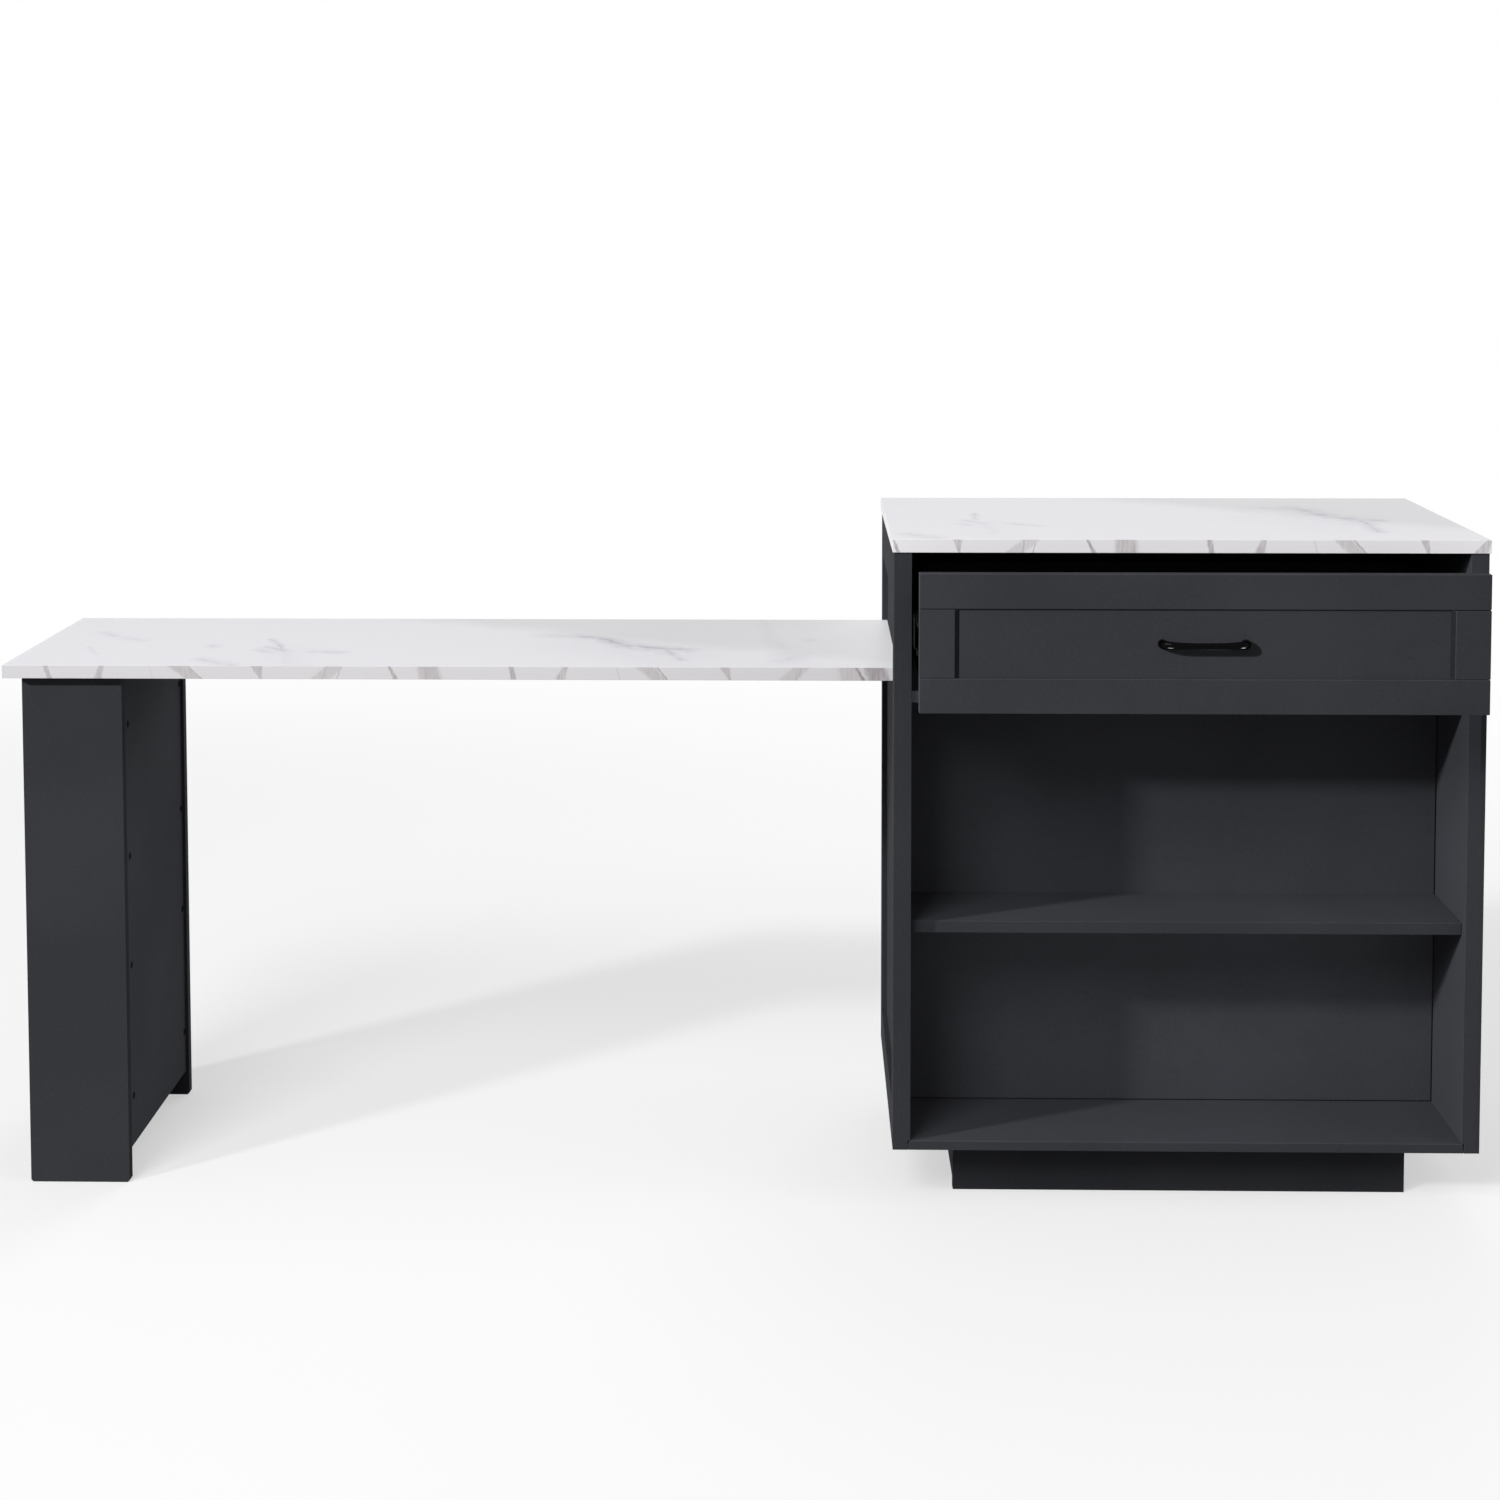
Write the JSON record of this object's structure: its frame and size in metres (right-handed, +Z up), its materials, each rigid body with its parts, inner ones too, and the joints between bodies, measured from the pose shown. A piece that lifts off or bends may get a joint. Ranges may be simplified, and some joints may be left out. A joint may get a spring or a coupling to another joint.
{
  "type": "kitchen island unit",
  "caption": "Counter-height island cabinet with a drawer, open bays and a rear cupboard, joined to a lower marble-look table leaf on a box leg.",
  "frame": {"origin": "middle of the unit's box at rest, on the floor", "axes": "+X along the counter from the table leaf to the cabinet, +Y from the drawer side to the door side, +Z up"},
  "size_m": [2.021, 0.5924, 0.918],
  "materials": {
    "charcoal_board": "satin charcoal lacquer on wood-based board",
    "marble_laminate": "satin white marble-look laminate on wood-based board, with soft grey veins",
    "black_metal": "gloss black",
    "runner_steel": "black coat on folded steel sheet"
  },
  "bodies": {
    "cabinet": {"countertop": "marble_laminate", "left_side_panel": "charcoal_board", "left_side_front_strip": "charcoal_board", "left_side_rear_strip": "charcoal_board", "left_side_top_strip": "charcoal_board", "left_side_bottom_strip": "charcoal_board", "right_side_panel": "charcoal_board", "right_side_front_strip": "charcoal_board", "right_side_rear_strip": "charcoal_board", "right_side_top_strip": "charcoal_board", "right_side_bottom_strip": "charcoal_board", "bottom_board": "charcoal_board", "divider_board": "charcoal_board", "bay_back_panel": "charcoal_board", "bay_shelf": "charcoal_board", "cupboard_shelf": "charcoal_board", "front_stretcher": "charcoal_board", "rear_stretcher": "charcoal_board", "rear_panel": "charcoal_board", "plinth_front": "charcoal_board", "plinth_rear": "charcoal_board", "plinth_left": "charcoal_board", "plinth_right": "charcoal_board", "left_runner_outer": "runner_steel", "right_runner_outer": "runner_steel", "left_lower_hinge_frame_half": "black_metal", "left_upper_hinge_frame_half": "black_metal", "right_lower_hinge_frame_half": "black_metal", "right_upper_hinge_frame_half": "black_metal", "leaf_top": "marble_laminate", "leaf_wall_cleat": "charcoal_board", "leg_front_board": "charcoal_board", "leg_rear_board": "charcoal_board", "leg_inner_web": "charcoal_board", "leg_outer_web": "charcoal_board", "leg_top_board": "charcoal_board"},
    "drawer": {"drawer_front_board": "charcoal_board", "drawer_top_rail": "charcoal_board", "drawer_bottom_rail": "charcoal_board", "drawer_left_stile": "charcoal_board", "drawer_right_stile": "charcoal_board", "drawer_left_side": "charcoal_board", "drawer_right_side": "charcoal_board", "drawer_back": "charcoal_board", "drawer_bottom": "charcoal_board", "drawer_pull": "black_metal", "left_runner_inner": "runner_steel", "right_runner_inner": "runner_steel"},
    "runner_middles": {"left_runner_middle": "runner_steel", "right_runner_middle": "runner_steel"},
    "left_door": {"left_door": "charcoal_board", "left_door_pull": "black_metal", "left_lower_hinge_door_half": "black_metal", "left_upper_hinge_door_half": "black_metal"},
    "right_door": {"right_door": "charcoal_board", "right_door_pull": "black_metal", "right_lower_hinge_door_half": "black_metal", "right_upper_hinge_door_half": "black_metal"}
  },
  "joints": [
    {"name": "drawer_slide", "type": "slide", "parent": "cabinet", "child": "drawer", "axis": [0, -1, 0], "range_m": [-0.11, 0.19]},
    {"name": "runner_middle_slide", "type": "slide", "parent": "cabinet", "child": "runner_middles", "axis": [0, -1, 0], "range_m": [-0.056, 0.096]},
    {"name": "left_door_hinge", "type": "hinge", "parent": "cabinet", "child": "left_door", "pos_m": [0.2375, 0.28, 0.392], "axis": [0, 0, 1], "range_deg": [0, 110]},
    {"name": "right_door_hinge", "type": "hinge", "parent": "cabinet", "child": "right_door", "pos_m": [0.9835, 0.28, 0.392], "axis": [0, 0, -1], "range_deg": [0, 110]}
  ],
  "couplings": [
    {"joint": "runner_middle_slide", "follows": "drawer_slide", "ratio": 0.5}
  ]
}
